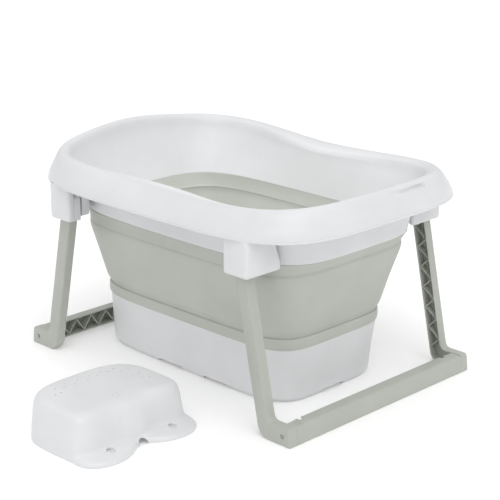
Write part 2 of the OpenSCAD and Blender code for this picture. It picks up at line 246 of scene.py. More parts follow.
def joined(parts):
    """One list of vertices and faces out of several."""
    verts, faces, base = [], [], 0
    for v, f in parts:
        verts.append(np.asarray(v, float))
        faces += [tuple(i + base for i in face) for face in f]
        base += len(v)
    return np.concatenate(verts), faces


def flipped(part, sx, sy):
    """A copy mirrored to another corner of the tub."""
    v, f = part
    return np.asarray(v) * (sx, sy, 1), f


def make(name, part, material, sharp=35):
    """A mesh object, smooth but for edges sharper than the given angle."""
    v, f = part
    mesh = bpy.data.meshes.new(name)
    mesh.from_pydata([tuple(p) for p in np.asarray(v) * MM], [], f)
    bm = bmesh.new()
    bm.from_mesh(mesh)
    bmesh.ops.remove_doubles(bm, verts=bm.verts, dist=1e-6)
    bmesh.ops.recalc_face_normals(bm, faces=bm.faces)
    bm.to_mesh(mesh)
    bm.free()
    obj = bpy.data.objects.new(name, mesh)
    bpy.context.scene.collection.objects.link(obj)
    finish_mesh(obj, material, sharp)
    return obj


def finish_mesh(obj, material, sharp):
    """Shading and material of a piece."""
    mesh = obj.data
    mesh.polygons.foreach_set("use_smooth", [True] * len(mesh.polygons))
    mesh.set_sharp_from_angle(angle=math.radians(sharp))
    mesh.materials.clear()
    mesh.materials.append(material)


def baked(obj):
    """Applies an object's modifiers to its mesh."""
    graph = bpy.context.evaluated_depsgraph_get()
    mesh = bpy.data.meshes.new_from_object(obj.evaluated_get(graph))
    obj.modifiers.clear()
    obj.data = mesh
    return obj


def carved(obj, cutters, material, sharp):
    """Cuts the closed cutters out of a piece."""
    tool = make(obj.name + "_tool", joined(cutters), material)
    cut = obj.modifiers.new("cut", "BOOLEAN")
    cut.operation = "DIFFERENCE"
    cut.solver = "EXACT"
    cut.use_self = True
    cut.object = tool
    baked(obj)
    bpy.data.objects.remove(tool)
    finish_mesh(obj, material, sharp)
    return obj


def place(obj, body, slot, *nodes):
    """Lets a piece ride on a body, in place of CAD nodes. The slot argument is not used."""
    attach(obj, body)
    if nodes:
        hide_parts(*nodes)
    return obj


def rounded(points, radii, steps=8):
    """A polygon with its corners rounded, with the same count of points at each corner."""
    pts = [np.array(p, float) for p in points]
    out = []
    n = len(pts)
    for i, q in enumerate(pts):
        a = pts[i - 1] - q
        b = pts[(i + 1) % n] - q
        a /= np.linalg.norm(a)
        b /= np.linalg.norm(b)
        half = math.acos(max(-1, min(1, float(a @ b)))) / 2
        r = max(radii[i], 0.05)
        mid = (a + b) / np.linalg.norm(a + b)
        c = q + mid * (r / math.sin(half))
        s = q + a * (r / math.tan(half)) - c
        e = q + b * (r / math.tan(half)) - c
        a0 = math.atan2(s[1], s[0])
        d = (math.atan2(e[1], e[0]) - a0 + math.pi) % (2 * math.pi) - math.pi
        for k in range(steps + 1):
            t = a0 + d * k / steps
            out.append(c + r * np.array([math.cos(t), math.sin(t)]))
    return np.array(out)


def inset(points, d):
    """Corners of an anticlockwise polygon, each side moved inwards by its own d."""
    p = [np.array(q, float) for q in points]
    far = np.broadcast_to(np.asarray(d, float), len(p))
    out = []
    for i, q in enumerate(p):
        u = q - p[i - 1]
        v = p[(i + 1) % len(p)] - q
        u /= np.linalg.norm(u)
        v /= np.linalg.norm(v)
        out.append(q + np.linalg.solve([[-u[1], u[0]], [-v[1], v[0]]], [far[i - 1], far[i]]))
    return out


def shrunk(points, radii, d, steps=8):
    """A rounded outline moved inwards by d, with radii that stay concentric."""
    p = [np.array(q, float) for q in points]
    new = []
    for i, r in enumerate(radii):
        u = p[i] - p[i - 1]
        v = p[(i + 1) % len(p)] - p[i]
        convex = u[0] * v[1] - u[1] * v[0] > 0
        new.append(r - d if convex else r + d)
    return rounded(inset(points, d), new, steps)


def upright(outline, y):
    """An outline in x and z, placed at y."""
    return np.column_stack([outline[:, 0], np.full(len(outline), y), outline[:, 1]])


def lying(outline, z):
    """A plan outline, placed at height z."""
    return np.column_stack([outline, np.full(len(outline), z)])


def disc(r, count):
    """Points on a circle."""
    t = np.linspace(0, 2 * math.pi, count, endpoint=False)
    return np.stack([r * np.cos(t), r * np.sin(t)], 1)


def turned(profile, at, axis="z", count=40):
    """A solid of revolution: profile is a list of (radius, height)."""
    rings = []
    for r, h in profile:
        c = disc(max(r, 0.01), count)
        if axis == "z":
            rings.append(np.column_stack([c, np.full(count, h)]) + at)
        else:
            rings.append(np.column_stack([c[:, 0], np.full(count, h), c[:, 1]]) + at)
    return skin(rings)


# ---- materials ----
GLOSS_SPREAD = 0.04
# How much lighter the painted edge highlight is than the base colour.
HIGHLIGHT_GAIN = 1.12


def material(name, colour, roughness, mottle=0.03, grain=0.00003, grain_scale=900, edge_highlight=0.06):
    """Moulded plastic or rubber: fine grain, faint mottling, uneven gloss and a painted highlight on convex
    edges.
    """
    m = bpy.data.materials.new(name)
    m.use_nodes = True
    tree = m.node_tree
    node, link = tree.nodes.new, tree.links.new
    shader = tree.nodes["Principled BSDF"]
    place_in = node("ShaderNodeTexCoord")

    def noise(scale, detail, rough=0.55):
        n = node("ShaderNodeTexNoise")
        n.inputs["Scale"].default_value = scale
        n.inputs["Detail"].default_value = detail
        n.inputs["Roughness"].default_value = rough
        link(place_in.outputs["Object"], n.inputs["Vector"])
        return n.outputs["Fac"]

    def spread(value, low, high, a=0.3, b=0.7):
        r = node("ShaderNodeMapRange")
        r.inputs["From Min"].default_value = a
        r.inputs["From Max"].default_value = b
        r.inputs["To Min"].default_value = low
        r.inputs["To Max"].default_value = high
        link(value, r.inputs["Value"])
        return r.outputs["Result"]

    def mixed(fac, a, b):
        x = node("ShaderNodeMix")
        x.data_type = "RGBA"
        link(fac, x.inputs[0])
        for value, socket in ((a, x.inputs[6]), (b, x.inputs[7])):
            if isinstance(value, tuple):
                socket.default_value = value
            else:
                link(value, socket)
        return x.outputs[2]

    dark = tuple(c * (1 - mottle) for c in colour) + (1,)
    light = tuple(min(1, c * (1 + mottle)) for c in colour) + (1,)
    # Painted highlight colour: a lighter copy of the base colour.
    edge = tuple(min(1, c * HIGHLIGHT_GAIN + 0.02) for c in colour) + (1,)
    body = mixed(spread(noise(9, 4), 0, 1), dark, light)
    geometry = node("ShaderNodeNewGeometry")
    # Painted highlight: convex edges, found by the mesh's pointiness, get the lighter colour.
    edge_highlight_mask = spread(geometry.outputs["Pointiness"], 0, edge_highlight, 0.53, 0.6)
    link(mixed(edge_highlight_mask, body, edge), shader.inputs["Base Color"])
    cloudy = spread(noise(38, 6, 0.6), roughness - GLOSS_SPREAD, roughness + GLOSS_SPREAD)
    link(cloudy, shader.inputs["Roughness"])
    bump = node("ShaderNodeBump")
    bump.inputs["Strength"].default_value = 0.6
    bump.inputs["Distance"].default_value = grain
    link(noise(grain_scale, 3), bump.inputs["Height"])
    link(bump.outputs["Normal"], shader.inputs["Normal"])
    return m


WHITE = material("white_plastic", (0.725, 0.73, 0.742), 0.36)
PAN_WHITE = material("pan_plastic", (0.74, 0.745, 0.755), 0.42, grain=0.00005)
SEAT_WHITE = material("seat_plastic", (0.74, 0.745, 0.76), 0.4)
GREEN = material("green_plastic", (0.445, 0.463, 0.418), 0.42)
RUBBER = material(
    "green_rubber", (0.505, 0.522, 0.478), 0.5, mottle=0.04, grain=0.00006, grain_scale=600,
)
CUP = material("cup_rubber", (0.64, 0.65, 0.66), 0.35)


def steel(name):
    """Turned steel with fine rings and uneven gloss."""
    m = material(name, (0.5, 0.5, 0.52), 0.32, mottle=0.05, grain=0.00002, grain_scale=1500)
    m.node_tree.nodes["Principled BSDF"].inputs["Metallic"].default_value = 1.0
    return m


STEEL = steel("steel")


# ---- rim ----
def rim():
    """The white rim: inner wall, broad lip with its groove, skirt with a bead, and the inside."""
    lip_steps = [0.12, 0.22, 0.32, 0.38, 0.42, 0.47, 0.52, 0.56, 0.575, 0.585, 0.595, 0.61, 0.63]
    lip_steps += [0.645, 0.66, 0.68, 0.74, 0.8, 0.84]
    inner = smooth([
        wall(0, 0, WALL_TOP + 5, 0),
        wall(0.07, 0, WALL_TOP + 14, 0.02),
        wall(0.2, 0, WALL_TOP + 30, 0.1),
        wall(0.52, 0, WALL_TOP + 65, 0.4),
        wall(0.8, 0, CREST_Z - 23, 0.8),
        wall(0.93, 0, CREST_Z - 13, 1),
        lip(0.03),
    ])
    top = scooped([lip(s) for s in lip_steps], lip_steps)
    outer = smooth([
        top[-1],
        lip(0.88, -0.8),
        lip(0.935, -1.6),
        lip(0.975, -1.8),
        level(SKIRT_A + 0.6, SKIRT_B + 0.6, SKIRT_N, SKIRT_X, SKIRT_Z + 5),
    ])
    bead = [
        level(SKIRT_A + 0.2, SKIRT_B + 0.2, SKIRT_N, SKIRT_X, SKIRT_Z + 3.4),
        level(SKIRT_A + 0.9, SKIRT_B + 0.9, SKIRT_N, SKIRT_X, SKIRT_Z + 2.8),
        level(SKIRT_A + 1.3, SKIRT_B + 1.3, SKIRT_N, SKIRT_X, SKIRT_Z + 1.8),
        level(SKIRT_A + 1.0, SKIRT_B + 1.0, SKIRT_N, SKIRT_X, SKIRT_Z + 0.6),
        level(SKIRT_A, SKIRT_B, SKIRT_N, SKIRT_X, SKIRT_Z),
        level(SKIRT_A - 2, SKIRT_B - 2, SKIRT_N, SKIRT_X, SKIRT_Z),
    ]
    under = smooth([
        level(SKIRT_A - 2.6, SKIRT_B - 2.6, SKIRT_N, SKIRT_X, SKIRT_Z + 0.8),
        lip(0.99, 2.2),
        lip(0.93, 1.5, 1.5),
        lip(0.8, 1.7, 2.4 + 0.8),
        lip(0.6, 1, 3 + 3),
        lip(CREST_AT, 0, 3.1 + 3),
        lip(0.25, -0.6, 4),
        lip(0.12, -2, 5.5),
        wall(0.94, RIM_WALL, CREST_Z - 14, 1),
        wall(0.8, RIM_WALL, CREST_Z - 23, 0.8),
        wall(0.52, RIM_WALL, WALL_TOP + 65, 0.4),
        wall(0.2, RIM_WALL, WALL_TOP + 30, 0.1),
        wall(0, RIM_WALL, WALL_TOP + 1, 0),
    ])
    close = [wall(0, 2.6, WALL_TOP, 0), wall(0, 0.6, WALL_TOP + 3.6, 0)]
    rings = inner + top + outer[1:] + bead + under + close
    obj = make("rim_moulding", skin(rings, closed=True), WHITE, 50)
    return place(obj, "rim", "white_plastic", "rim_shell")


# ---- soft wall ----
def collar_upper():
    """The band under the rim, which narrows down to the upper fold line."""
    z0, z1 = FOLD_HI, WALL_TOP - 0.2
    t = SOFT_WALL
    outer = smooth([
        level(315.3, 203.8, 4.7, -5, z1),
        level(308.6, 202.4, 4.8, -7, z0 + 14),
        level(303.4, 201.6, 4.9, -9, z0 + 4),
        level(303.1, 201.4, 4.9, -9, z0 + 0.8),
        level(302.8, 201.2, 4.9, -9, z0),
    ])
    inner = smooth([
        level(301.4 - t, 199.4 - t, 4.9, -9, z0),
        level(303.2 - t, 200.4 - t, 4.9, -9, z0 + 4),
        level(308.6 - t, 202.4 - t, 4.8, -7, z0 + 15),
        level(313.2 - t, 203.2 - t, 4.7, -5.5, z0 + 26),
        level(314.6 - t, 203 - t, 4.7, -5, z1 + 4.6),
    ])
    obj = make("wall_band_upper", skin(outer + inner, closed=True), RUBBER, 40)
    return place(obj, "rim", "green_soft", "wall_collar_upper")


def fold_panel():
    """The panel that turns inside out when the tub is folded, with a rolled edge at each fold line."""
    z0, z1 = FOLD_LO + 0.2, FOLD_HI - 0.2
    t = SOFT_WALL
    outer = smooth([
        level(302.8, 201.2, 4.9, -9, z1),
        level(303.0, 201.4, 4.9, -9, z1 - 0.6),
        level(303.1, 201.5, 4.95, -9, z1 - 3),
        level(302.7, 201.2, 5, -9, z1 - 7),
        level(300.2, 198.0, 5.1, -9.6, z1 - 20),
        level(288, 182, 5.3, -12, (z0 + z1) / 2),
        level(276.8, 167, 5.45, -13.6, z0 + 19),
        level(272.6, 161.3, 5.55, -14, z0 + 8),
        level(270.4, 158.8, 5.6, -14, z0 + 2.4),
        level(269.6, 158.2, 5.6, -14, z0),
    ])
    inner = smooth([
        level(269.8 - t, 158.4 - t, 5.6, -14, z0),
        level(271.8 - t, 161 - t, 5.55, -14, z0 + 8),
        level(288 - t, 182 - t, 5.3, -12, (z0 + z1) / 2),
        level(300 - t, 198 - t, 5.1, -9.6, z1 - 19),
        level(301.8 - t, 200.6 - t, 4.95, -9, z1 - 5),
        level(300.6 - t, 199.8 - t, 4.9, -9, z1),
    ])
    obj = make("wall_fold_skirt", skin(outer + inner, closed=True), RUBBER, 40)
    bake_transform(obj)
    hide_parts("wall_fold_panel")
    return obj


def collar_lower():
    """The thick band round the pan's top edge, with a ledge at the lower fold line."""
    z0, z1 = PAN_TOP + 0.2, FOLD_LO
    outer = smooth([
        level(270.6, 158.9, 5.6, -14, z1),
        level(272.0, 160.1, 5.6, -14, z1 - 0.6),
        level(272.6, 160.7, 5.6, -14, z1 - 2.2),
        level(272.8, 160.8, 5.6, -14, z1 - 5),
        level(272.9, 160.4, 5.65, -14.5, z0 + 10),
        level(272.2, 159.2, 5.7, -15, z0 + 4),
        level(271.2, 157.8, 5.7, -15, z0 + 0.8),
        level(270.2, 156.8, 5.7, -15, z0),
    ])
    inner = smooth([
        level(266.5, 153, 5.7, -15, z0),
        level(267.4, 154, 5.65, -14.5, z0 + 8),
        level(267.8, 156, 5.6, -14, z1 - 3),
        level(268, 156.6, 5.6, -14, z1),
    ])
    obj = make("wall_band_lower", skin(outer + inner, closed=True), RUBBER, 40)
    return place(obj, "base", "green_soft", "wall_collar_lower")


# ---- base pan ----
FOOT_H = 8.4
DRAIN_X = 150
GAP_HALF = 34
END_GAP_HALF = 26
SIDE_Y = 100


def pan():
    """The white pan, whose underside stands on a foot ring with gaps."""
    outside = smooth([
        level(246, 129, 5.3, -20, FOOT_H - 1.2),
        level(258, 141, 5.4, -20, FOOT_H - 1.2),
        level(263.6, 146.6, 5.45, -20, FOOT_H - 0.6),
        level(265.6, 148.6, 5.5, -20, FOOT_H + 1.6),
        level(266.2, 149.3, 5.5, -20, FOOT_H + 5),
        level(267.6, 152.2, 5.6, -18.5, 56),
        level(270.2, 156.3, 5.7, -15, PAN_TOP - 4),
        level(270.4, 156.7, 5.7, -15, PAN_TOP - 1),
        level(269.8, 156.2, 5.7, -15, PAN_TOP),
    ])
    inside = smooth([
        level(267.6, 154, 5.7, -15, PAN_TOP),
        level(267, 153.2, 5.7, -15, PAN_TOP - 3),
        level(264.8, 149.4, 5.6, -18, 60),
        level(262.4, 145.8, 5.5, -20, 26),
        level(259, 141.6, 5.4, -20, 15.5),
        level(252, 134.6, 5.3, -20, 10.8),
        level(244, 126.6, 5.2, -20, 9.4),
        level(230, 112.6, 5.1, -20, 9.1),
    ])
    floor_in = [
        level(230 - d, 112.6 - d * 0.49, 5.1 - d / 100, -20, 9.1) for d in (30, 80, 140, 190, 220)
    ]
    floor_out = [
        level(246 - d, 129 - d * 0.52, 5.3 - d / 90, -20, FOOT_H - 1.2) for d in (225, 160, 80)
    ]
    body = skin(floor_out + outside + inside + floor_in)
    rings = [
        level(246, 129, 5.3, -20, FOOT_H - 0.8),
        level(246, 129, 5.3, -20, 0.6),
        level(247, 130, 5.3, -20, 0),
        level(257, 140, 5.35, -20, 0),
        level(259.6, 142.6, 5.4, -20, 0.7),
        level(260.4, 143.4, 5.4, -20, 2.2),
        level(261, 144, 5.4, -20, FOOT_H - 0.8),
    ]
    ring = foot_segments(rings)
    profile = [(44, FOOT_H - 1), (48, FOOT_H - 1), (48, 0.8), (47, 0), (10, 0)]
    support = turned(profile, (0, 0, 0), count=72)
    obj = make("pan_moulding", joined([body] + ring + [support]), PAN_WHITE, 40)
    drain = turned([(14, -2), (14, 8.6), (16, 9.2), (16.5, 12)], (DRAIN_X, 0, 0), count=56)
    carved(obj, [drain], PAN_WHITE, 40)
    return place(obj, "base", "white_plastic", "base_pan")


def foot_segments(rings):
    """The foot ring's stretches between its gaps."""
    p = rings[3]
    x, y = p[:, 0], np.abs(p[:, 1])
    gap = (y > SIDE_Y) & ((np.abs(x + 70) < GAP_HALF) | (np.abs(x - 61) < GAP_HALF))
    gap |= y < END_GAP_HALF
    keep = [i for i in range(AROUND) if not gap[i]]
    runs = []
    for i in keep:
        if runs and runs[-1][-1] == i - 1:
            runs[-1].append(i)
        else:
            runs.append([i])
    if runs[0][0] == 0 and runs[-1][-1] == AROUND - 1:
        runs[0] = runs.pop() + runs[0]
    parts = []
    for run in runs:
        sections = [np.array([r[i] for r in rings]) for i in run]
        parts.append(skin(sections))
    return parts


def plug():
    """The rubber drain plug with a ring to pull it by."""
    x = (PLUG_LO.x + PLUG_HI.x) / 2
    head = turned([
        (8, 4), (13.2, 4), (13.4, 4.6), (13.5, 9.3), (18.2, 9.3), (19, 9.9), (19, 11), (18.2, 11.8),
        (15, 12.2), (5, 12.2), (2, 12.2),
    ], (x, 0, 0), count=56)
    loop = []
    for k in range(33):
        t = math.pi * k / 32
        centre = np.array([x, -5.4 * math.cos(t), 12.4 + 9.4 * math.sin(t)])
        out = np.array([0, -math.cos(t), math.sin(t)])
        ring = [centre + 1.55 * (math.cos(a) * out + math.sin(a) * np.array([1.0, 0, 0]))
                for a in np.linspace(0, 2 * math.pi, 14, endpoint=False)]
        loop.append(np.array(ring))
    obj = make("drain_stopper", joined([head, skin(loop)]), RUBBER, 40)
    return place(obj, "plug", "green_soft", "drain_plug")


# ---- leg sockets ----
SOCKET_X = 217
SOCKET_OUT_X = 278
SOCKET_OUT_Y = 274
SOCKET_Z = WALL_TOP - 4
SOCKET_TOP = SKIRT_Z + 3
CAVITY_TOP = HINGE_Z + 19
EAR_Y = 237


def softened(plan, radii, sides, z0, z1, soft):
    """A plan drawn up from z0 to z1, whose lower edge is rounded on the sides marked 1."""
    rings = []
    steps = 5
    for k in range(steps + 1):
        a = math.pi / 2 * k / steps
        d = soft * (1 - math.sin(a))
        radius = [max(r - d, 0.4) for r in radii]
        outline = rounded(inset(plan, [d * m for m in sides]), radius)
        rings.append(lying(outline, z0 + soft * (1 - math.cos(a))))
    rings.append(lying(rounded(plan, radii), z1))
    return rings


def socket_part():
    """A box open below and towards the middle: a C-shaped wall, an inner ear and a block on top."""
    y0, y1 = POST_Y0 - 0.6, FRAME_B + 0.6
    end = POST_X0 - LEAN * SOCKET_Z + 0.6
    reach = POST_X0 - LEAN * HINGE_Z + 0.8
    shape = [
        (250, 199), (270, 187), (SOCKET_OUT_X, 180), (SOCKET_OUT_X, SOCKET_OUT_Y), (SOCKET_X, SOCKET_OUT_Y),
        (SOCKET_X, y1), (end, y1), (end, y0), (250, y0),
    ]
    sides = [1, 1, 1, 1, 1, 0, 0, 0, 0]
    radii = [3, 6, 5, 9, 6, 0.6, 0.6, 0.6, 0.6]
    rings = softened(shape, radii, sides, SOCKET_Z, SOCKET_Z + 15, 7)
    high = [(250, 215), (270, 208), (SOCKET_OUT_X, 205)] + shape[3:]
    shell = skin(rings + [lying(rounded(high, radii), SOCKET_TOP)])
    ear_plan = [(221, 218), (251, 207), (251, EAR_Y), (221, EAR_Y)]
    ear_rings = softened(ear_plan, [4, 1, 1, 2], [1, 0, 0, 1], SOCKET_Z + 6, SOCKET_Z + 30, 5)
    ear_high = [(221, 222), (251, 215), (251, EAR_Y), (221, EAR_Y)]
    ear = skin(ear_rings + [lying(rounded(ear_high, [4, 1, 1, 2]), SOCKET_TOP)])
    roof_plan = [(SOCKET_X, 225), (240, 217), (274, 207), (274, 273), (SOCKET_X, 273)]
    roof = skin([lying(rounded(roof_plan, [4, 8, 3, 8, 4]), z) for z in (CAVITY_TOP, SOCKET_TOP)])
    rear_plan = np.array([(reach, y0 - 1), (end + 1, y0 - 1), (end + 1, y1 + 1), (reach, y1 + 1)])
    low_plan = rear_plan.copy()
    low_plan[[0, 3], 0] = end + 0.5
    rear = skin([
        lying(low_plan, SOCKET_Z + 8), lying(rear_plan, HINGE_Z), lying(rear_plan, SOCKET_TOP),
    ])
    neck_plan = rounded([(214, 234), (256, 234), (256, 249), (214, 249)], [3, 3, 3, 3])
    neck = skin([lying(neck_plan, SOCKET_TOP - 1), lying(neck_plan, 407)])
    return joined([shell, ear, roof, rear, neck])


def leg_cap():
    """The white cap over a leg's upper end, which closes the socket towards the middle."""
    z0 = SOCKET_Z + 1
    far = POST_X0 - LEAN * HINGE_Z + 0.3
    outline = [
        (SOCKET_X, z0), (POST_X0 - LEAN * z0 + 0.3, z0), (far, HINGE_Z),
        (far, HINGE_Z + 6), (HINGE_X, HINGE_Z + 14), (SOCKET_X, HINGE_Z + 9),
    ]
    radii = [2, 1, 8, 10, 8, 11]
    y0, y1 = POST_Y0 + 3.5, FRAME_B + 0.2
    return skin([
        upright(shrunk(outline, radii, 0.8), y0), upright(rounded(outline, radii), y0 + 0.8),
        upright(rounded(outline, radii), y1),
    ])


def sockets():
    """The four boxes under the rim that hold the hinge pins, with the leg's cap in each."""
    part = socket_part()
    for x_side, x_name in ((1, "front"), (-1, "back")):
        for y_side, y_name in ((-1, "right"), (1, "left")):
            obj = make(f"socket_{x_name}_{y_name}", flipped(part, x_side, y_side), WHITE, 40)
            place(obj, "rim", "white_plastic", f"leg_socket_{x_name}_{y_name}")
            cap = make(f"leg_cap_{x_name}_{y_name}", flipped(leg_cap(), x_side, y_side), WHITE, 40)
            place(cap, f"{x_name}_frame", "white_plastic")


# ---- leg frames ----
POST_PTS = [
    (HINGE_X - POST_W / 2 * SLANT, HINGE_Z + POST_HEAD),
    (POST_X0 - POST_W * SLANT, 0),
    (TOE_X, 0),
    (TOE_X - 4, TOE_H),
    (POST_X0 - LEAN * TOE_H, TOE_H),
    (HINGE_X + POST_W / 2 * SLANT, HINGE_Z + POST_HEAD),
]
POST_RAD = [14, 28, 3, 7, 13, 14]
RIBS = 14


def rib_line(i):
    """A corner of the zigzag rib in the post's channel."""
    z = HINGE_Z - 20 + (34 - HINGE_Z + 20) * i / RIBS
    side = -POST_W / 2 + 1.2 if i % 2 == 0 else POST_W / 2 - 3.6
    taper = LEAN * POST_HEAD * z / (HINGE_Z + POST_HEAD)
    return np.array([POST_X0 - LEAN * z - POST_W / 2 + side + taper, z])


def post_part():
    """A post: a closed face outwards, an open channel with a zigzag rib towards the middle."""
    def at(d, y):
        return upright(shrunk(POST_PTS, [max(r, d + 0.4) for r in POST_RAD], d), y)

    outer = [
        at(2.3, POST_Y0), at(0.5, POST_Y0), at(0, POST_Y0 + 0.5), at(0, FRAME_B - 3),
        at(0.4, FRAME_B - 1.5), at(1.3, FRAME_B - 0.5), at(3, FRAME_B),
    ]
    channel = [at(2.8, FRAME_B - 2.6), at(2.8, POST_Y0 + 0.5)]
    shell = skin(channel + outer)
    ribs = []
    for i in range(RIBS):
        a, b = rib_line(i), rib_line(i + 1)
        along = (b - a) / np.linalg.norm(b - a)
        side = np.array([-along[1], along[0]])
        quad = np.array([a - side, b - side, b + side, a + side])
        narrow = np.array([a - side * 0.7, b - side * 0.7, b + side * 0.7, a + side * 0.7])
        ribs.append(skin([
            upright(quad, FRAME_B - 2), upright(quad, POST_Y0 + 2.6), upright(narrow, POST_Y0 + 2),
        ]))
    z_a, z_b = HINGE_Z - 26, TOE_H + 6
    centre = POST_X0 - POST_W / 2
    line = np.array([
        (centre - LEAN * z_a - 0.8, z_a), (centre - LEAN * z_b - 0.8, z_b),
        (centre - LEAN * z_b + 0.8, z_b), (centre - LEAN * z_a + 0.8, z_a),
    ])
    spine = [upright(line, FRAME_B - 2), upright(line, FRAME_B - 8)]
    hub = turned([(PIN_R + 0.1, FRAME_B - 2), (14.6, FRAME_B - 2), (14.6, POST_Y0 + 1), (14, POST_Y0 + 0.4),
                  (PIN_R + 0.1, POST_Y0 + 0.4)], (HINGE_X, 0, HINGE_Z), axis="y", count=48)
    boss = turned([(2, FRAME_B - 2), (8, FRAME_B - 2), (8, POST_Y0 + 1.2), (7.4, POST_Y0 + 0.6),
                   (2, POST_Y0 + 0.6)], (SCREW_X, 0, TOE_H / 2), axis="y", count=40)
    return joined([shell, skin(spine), hub, boss] + ribs)


def post_holes():
    """Cutters for the pin bore and the screw's recess."""
    pin = turned([(PIN_R + 0.06, POST_Y0 - 4), (PIN_R + 0.06, FRAME_B + 4)], (HINGE_X, 0, HINGE_Z), "y", 48)
    recess = turned([(4.2, FRAME_B - 5), (4.2, FRAME_B - 0.6), (4.9, FRAME_B + 0.3), (4.9, FRAME_B + 2)],
                    (SCREW_X, 0, TOE_H / 2), "y", 40)
    return [pin, recess]


NOTCH_Y = 207
NOTCH_HALF = 6
NOTCH_W = 7
BAR_WALL = 2.6
BAR_DROP = 1.2
BAR_RIBS = 22


def bar_part():
    """The crossbar: closed outside and on top, open and ribbed towards the middle of the tub."""
    half = POST_Y0 - 0.2
    t = BAR_WALL

    def section(y, drop):
        top = TOE_H - drop
        edge = BAR_X0 + (NOTCH_W if abs(abs(y) - NOTCH_Y) < NOTCH_HALF else 0)
        shape = [
            (BAR_X0, 0), (TOE_X, 0), (TOE_X - 4 + 4 * drop / TOE_H, top), (edge, top),
            (edge, top - t), (TOE_X - 7.5, top - t), (TOE_X - 3.4, t), (BAR_X0, t),
        ]
        return upright(rounded(shape, [1.1, 3, 7, 1.1, 1.1, 4.5, 2, 1.1], 6), y)

    def solid(y, drop, d):
        top = TOE_H - drop
        shape = [(BAR_X0, 0), (TOE_X, 0), (TOE_X - 4 + 4 * drop / TOE_H, top), (BAR_X0, top)]
        return upright(shrunk(shape, [1.2 + d, 3 + d, 7 + d, 2 + d], d, 6), y)

    low = BAR_DROP
    stations = [(half - 15.5, low), (half - 23.4, low), (half - 24.6, 0)]
    for y in (NOTCH_Y + NOTCH_HALF, NOTCH_Y - NOTCH_HALF):
        stations += [(y + 0.3, 0), (y - 0.3, 0)]
    rings = [section(-y, d) for y, d in stations] + [section(y, d) for y, d in stations[::-1]]
    blocks = []
    for s in (-1, 1):
        blocks.append(skin([solid(s * (half - 16), low, 0), solid(s * (half - 0.5), low, 0),
                            solid(s * half, low, 0.5)]))
    ribs = []
    count = BAR_RIBS
    span = half - 17
    for i in range(count):
        a = np.array([-span + 2 * span * i / count, 2.0 if i % 2 == 0 else TOE_H - 5.4])
        b = np.array([-span + 2 * span * (i + 1) / count, TOE_H - 5.4 if i % 2 == 0 else 2.0])
        along = (b - a) / np.linalg.norm(b - a)
        side = np.array([-along[1], along[0]])
        quad = [a - side, b - side, b + side, a + side]
        faces = []
        for x in (BAR_X0 + 4, TOE_X - 8):
            faces.append(np.array([[x, q[0], q[1]] for q in quad]))
        ribs.append(skin(faces))
    return joined([skin(rings)] + blocks + ribs)


def leg_frames():
    """Both folding frames: two posts and a crossbar each, with the CAD pins and screws."""
    post = post_part()
    bar = bar_part()
    holes = post_holes()
    for x_side, x_name in ((1, "front"), (-1, "back")):
        body = f"{x_name}_frame"
        for y_side, y_name in ((-1, "right"), (1, "left")):
            obj = make(f"leg_{x_name}_{y_name}", flipped(post, x_side, y_side), GREEN, 35)
            for h in holes:
                carved(obj, [flipped(h, x_side, y_side)], GREEN, 35)
            place(obj, body, "green_plastic", f"{x_name}_post_{y_name}")
        obj = make(f"cross_{x_name}", flipped(bar, x_side, 1), GREEN, 35)
        place(obj, body, "green_plastic", f"{x_name}_crossbar")
    for node in ("hinge_pins", "front_frame_screws", "back_frame_screws"):
        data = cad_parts[node].data
        data.materials.clear()
        data.materials.append(STEEL)


# ---- seat ----
SEAT_AROUND = 288
SEAT_LEAN = 5


def seat_body(t, front, n_front=6.5):
    """Distance of the seat's outline from its middle at angle t, without its lobes."""
    c, s = np.cos(t), np.sin(t)
    n = np.where(c > 0, n_front, 2.76)
    a = np.where(c > 0, front, SEAT_BACK)
    return ((np.abs(c) / a) ** n + (np.abs(s) / SEAT_B) ** n) ** (-1 / n)


def seat_reach(t, f):
    """Outline at angle t: body with two hollows in its front (0) to floor outline with lobes (1)."""
    off = np.degrees(np.abs((t + math.pi) % (2 * math.pi) - math.pi))
    u = (off - LOBE_AT) / LOBE_HALF
    bulge = np.where(np.cos(t) > 0, np.maximum(0, 1 - u * u), 0)
    body = seat_body(t, SEAT_FRONT) - HOLLOW * bulge**2
    return body * (1 - f) + (seat_body(t, 104, 4.95) + LOBE_OUT * bulge**1.4) * f


def seat_ring(d, f, z, front=0, share=1.0):
    """Ring on the seat, d (in front d + front) inside its outline, then drawn in to a share."""
    t = np.linspace(0, 2 * math.pi, SEAT_AROUND, endpoint=False)
    r = (seat_reach(t, f) - d - front * np.maximum(0, np.cos(t)) ** 2) * share
    return np.column_stack([
        SEAT_X + r * np.cos(t) - SEAT_LEAN * z / SEAT_H,
        SEAT_Y + r * np.sin(t),
        np.full(SEAT_AROUND, z),
    ])


